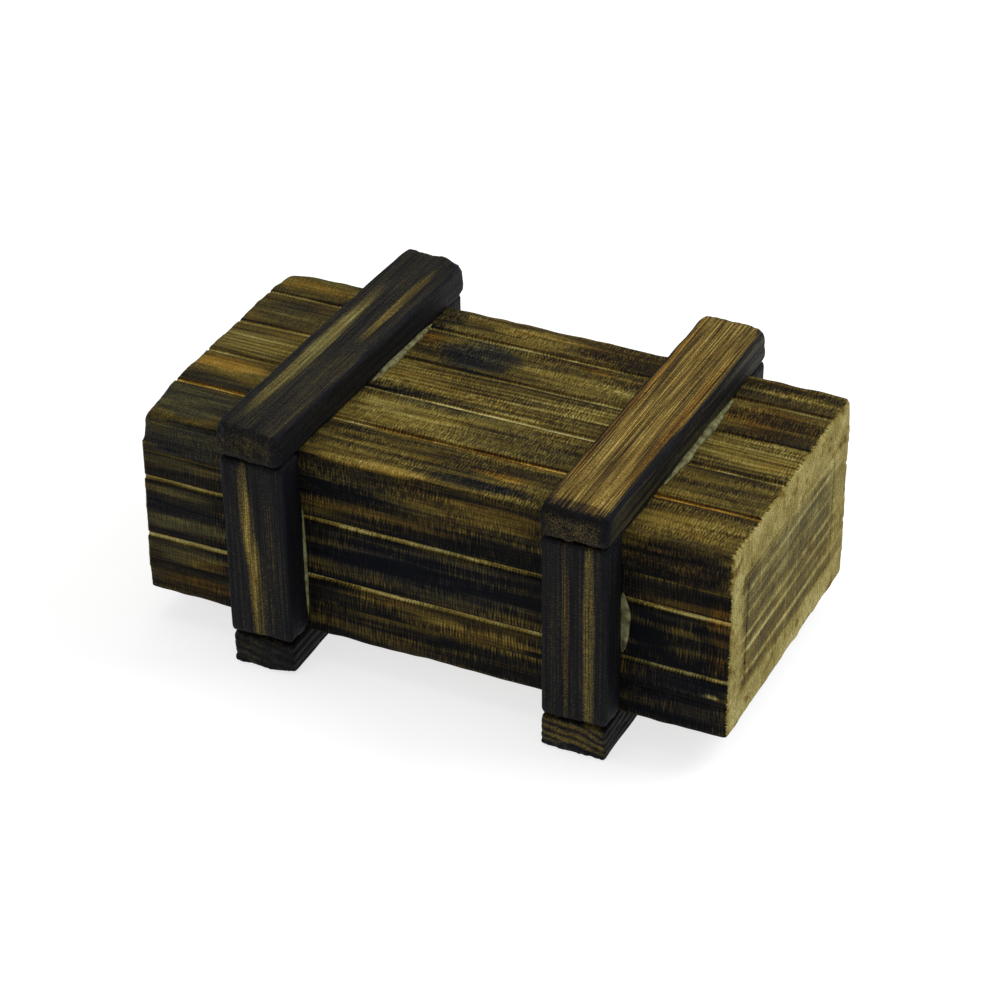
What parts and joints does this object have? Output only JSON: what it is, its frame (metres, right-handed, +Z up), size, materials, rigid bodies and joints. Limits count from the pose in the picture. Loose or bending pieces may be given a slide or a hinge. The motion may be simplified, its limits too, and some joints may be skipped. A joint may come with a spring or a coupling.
{
  "type": "wooden puzzle box",
  "caption": "Crate-style wooden puzzle box with bands of battens, a hidden drawer behind one end face and a sliding bottom batten that unlocks it.",
  "frame": {"origin": "centre of the footprint at the height of the table", "axes": "+X along the box to the drawer end, -Y to the front, +Z up"},
  "size_m": [0.12, 0.0778, 0.0533],
  "materials": {
    "scorched_board": "torch-scorched and brushed pine",
    "scorched_batten": "torch-scorched and brushed pine",
    "striped_end": "lightly scorched pine with the burnt grain left as stripes",
    "ridged_batten": "deeply brushed pine with raised grain",
    "plain_pine": "bare sanded pine"
  },
  "bodies": {
    "case": {"top_board": "scorched_board", "bottom_board": "scorched_board", "front_board": "scorched_board", "back_board": "scorched_board", "left_end_panel": "striped_end", "left_top_batten": "scorched_batten", "right_top_batten": "scorched_batten", "left_front_batten": "scorched_batten", "right_front_batten": "scorched_batten", "left_back_batten": "scorched_batten", "right_back_batten": "scorched_batten", "left_bottom_batten": "ridged_batten"},
    "drawer": {"drawer_front": "striped_end", "drawer_front_side": "plain_pine", "drawer_back_side": "plain_pine", "drawer_back": "plain_pine", "drawer_floor": "plain_pine", "drawer_catch": "plain_pine"},
    "key": {"key_batten": "ridged_batten", "key_tenon": "plain_pine", "lock_plate": "plain_pine"}
  },
  "joints": [
    {"name": "drawer_slide", "type": "slide", "parent": "case", "child": "drawer", "axis": [1, 0, 0], "range_m": [0, 0.07]},
    {"name": "key_slide", "type": "slide", "parent": "case", "child": "key", "axis": [0, -1, 0], "range_m": [0, 0.028]}
  ],
  "couplings": [
    {"joint": "key_slide", "follows": "drawer_slide", "ratio": 0.4}
  ]
}
